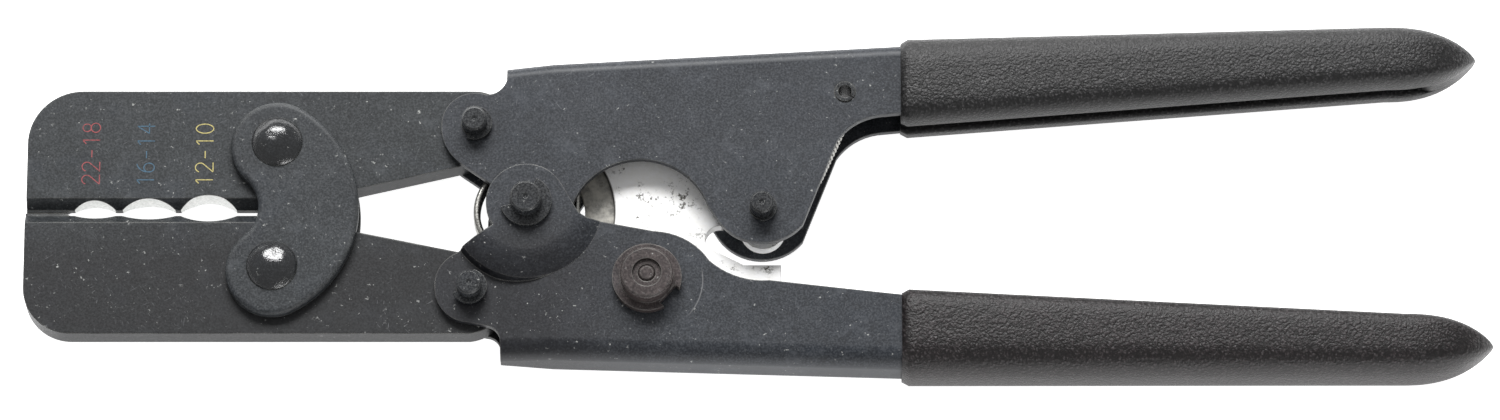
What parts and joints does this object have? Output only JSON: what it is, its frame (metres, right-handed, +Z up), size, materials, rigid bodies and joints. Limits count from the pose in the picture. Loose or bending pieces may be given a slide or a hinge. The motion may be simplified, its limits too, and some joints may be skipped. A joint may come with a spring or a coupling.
{
  "type": "wire terminal crimper",
  "caption": "Black compound-action ratchet hand crimper for insulated wire terminals, with lens-shaped nests in its long jaws and vinyl-dipped channel handles.",
  "frame": {"origin": "centre of the main pivot pin's rear head face, on the surface that the tool lies on", "axes": "+X along the handles towards the grips, +Y across them towards the upper handle, +Z up along the main pivot"},
  "size_m": [0.2744, 0.0686, 0.0216],
  "materials": {
    "black_oxide_sheet": "black oxide, satin",
    "black_oxide_forging": "black oxide, satin, bright in the nests",
    "lower_vinyl": "dipped vinyl, orange-peel",
    "upper_vinyl": "dipped vinyl, orange-peel",
    "zinc_plate": "bright zinc plate",
    "spring_wire": "bright drawn wire",
    "pin_steel": "black oxide, satin",
    "rivet_steel": "black oxide, glossy, hammered",
    "adjuster_steel": "browned steel"
  },
  "bodies": {
    "lower_handle": {"lower_frame": "black_oxide_sheet", "lower_grip": "lower_vinyl", "ratchet_plate": "zinc_plate", "torsion_spring": "spring_wire", "main_pivot_pin": "pin_steel", "main_pin_clip": "pin_steel", "pivot_bush": "pin_steel", "lower_jaw_pin": "pin_steel", "lower_jaw_pin_clip": "pin_steel"},
    "upper_handle": {"upper_frame": "black_oxide_sheet", "upper_grip": "upper_vinyl", "upper_jaw_pin": "pin_steel", "upper_jaw_pin_clip": "pin_steel", "pawl_pin": "pin_steel", "pawl_pin_clip": "pin_steel", "spring_anchor_pin": "pin_steel", "pawl_spring": "spring_wire"},
    "lower_jaw": {"lower_jaw": "black_oxide_forging"},
    "link": {"front_link_plate": "black_oxide_sheet", "rear_link_plate": "black_oxide_sheet", "upper_link_rivet": "rivet_steel", "lower_link_rivet": "rivet_steel"},
    "upper_jaw": {"upper_jaw": "black_oxide_forging"},
    "pawl": {"pawl": "zinc_plate"},
    "adjuster": {"adjuster_wheel": "adjuster_steel", "adjuster_retaining_ring": "adjuster_steel", "adjuster_lock_screw": "adjuster_steel"}
  },
  "joints": [
    {"name": "handle_open", "type": "hinge", "parent": "lower_handle", "child": "upper_handle", "pos_m": [0, 0, 0.00965], "axis": [0, 0, 1], "range_deg": [-0.3, 28], "deforming": ["torsion_spring"]},
    {"name": "lower_jaw_swing", "type": "hinge", "parent": "lower_handle", "child": "lower_jaw", "pos_m": [-0.0105, -0.0158, 0.00965], "axis": [0, 0, 1], "range_deg": [-0.5, 18.92]},
    {"name": "link_swing", "type": "hinge", "parent": "lower_jaw", "child": "link", "pos_m": [-0.0474, -0.0115, 0.00965], "axis": [0, 0, 1], "range_deg": [-4.69, 0.35]},
    {"name": "upper_jaw_swing", "type": "hinge", "parent": "link", "child": "upper_jaw", "pos_m": [-0.0468, 0.0127, 0.00965], "axis": [0, 0, 1], "range_deg": [-4.69, 0.35]},
    {"name": "pawl_swing", "type": "hinge", "parent": "upper_handle", "child": "pawl", "pos_m": [0.044, -0.00065, 0.00965], "axis": [0, 0, 1], "range_deg": [-25, 25], "stiffness_Nm_per_rad": 0.03, "deforming": ["pawl_spring"]},
    {"name": "adjuster_turn", "type": "hinge", "parent": "lower_handle", "child": "adjuster", "pos_m": [0.0226, -0.0146, 0.00965], "axis": [0, 0, 1], "range_deg": [-120, 120]}
  ],
  "couplings": [
    {"joint": "lower_jaw_swing", "follows": "handle_open", "ratio": 0.66506},
    {"joint": "link_swing", "follows": "handle_open", "ratio": -0.15669},
    {"joint": "upper_jaw_swing", "follows": "handle_open", "ratio": -0.15669}
  ]
}
